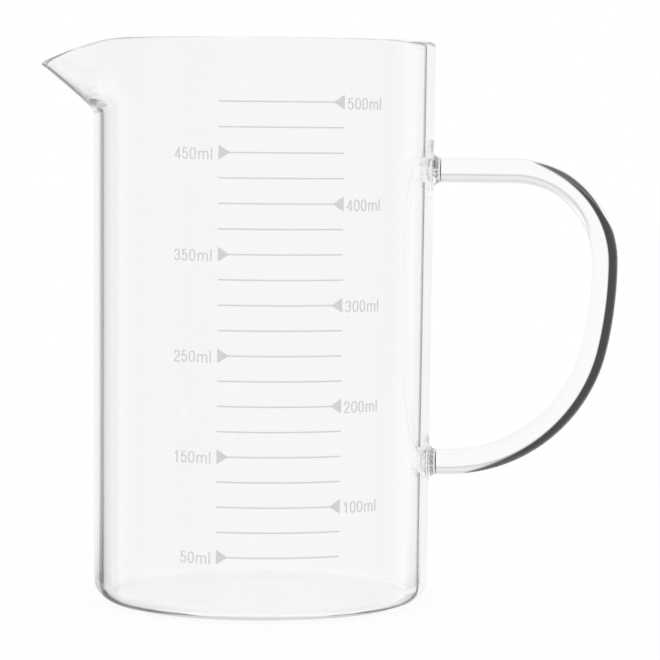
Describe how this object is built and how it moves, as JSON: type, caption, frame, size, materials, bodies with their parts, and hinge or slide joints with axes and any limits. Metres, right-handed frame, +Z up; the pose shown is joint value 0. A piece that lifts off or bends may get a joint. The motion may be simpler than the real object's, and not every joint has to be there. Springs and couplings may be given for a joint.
{
  "type": "measuring jug",
  "caption": "Straight-sided clear glass measuring jug with a pulled spout, a fused glass rod handle and a printed millilitre scale.",
  "frame": {"origin": "centre of the foot's flat, on the jug's axis", "axes": "+Z up along the jug's axis, +X towards the handle, -X towards the spout, -Y towards the viewer and the printed scale"},
  "size_m": [0.1359, 0.08, 0.1315],
  "materials": {
    "clear_glass": "clear, polished",
    "rod_glass": "clear, polished",
    "weld_glass": "clear, fire-polished",
    "scale_print": "fired-on light grey enamel print"
  },
  "bodies": {
    "root": {"vessel": "clear_glass", "handle_rod": "rod_glass", "upper_weld": "weld_glass", "lower_weld": "weld_glass", "graduation_lines": "scale_print", "left_pointers": "scale_print", "right_pointers": "scale_print", "left_labels": "scale_print", "right_labels": "scale_print"}
  },
  "joints": []
}
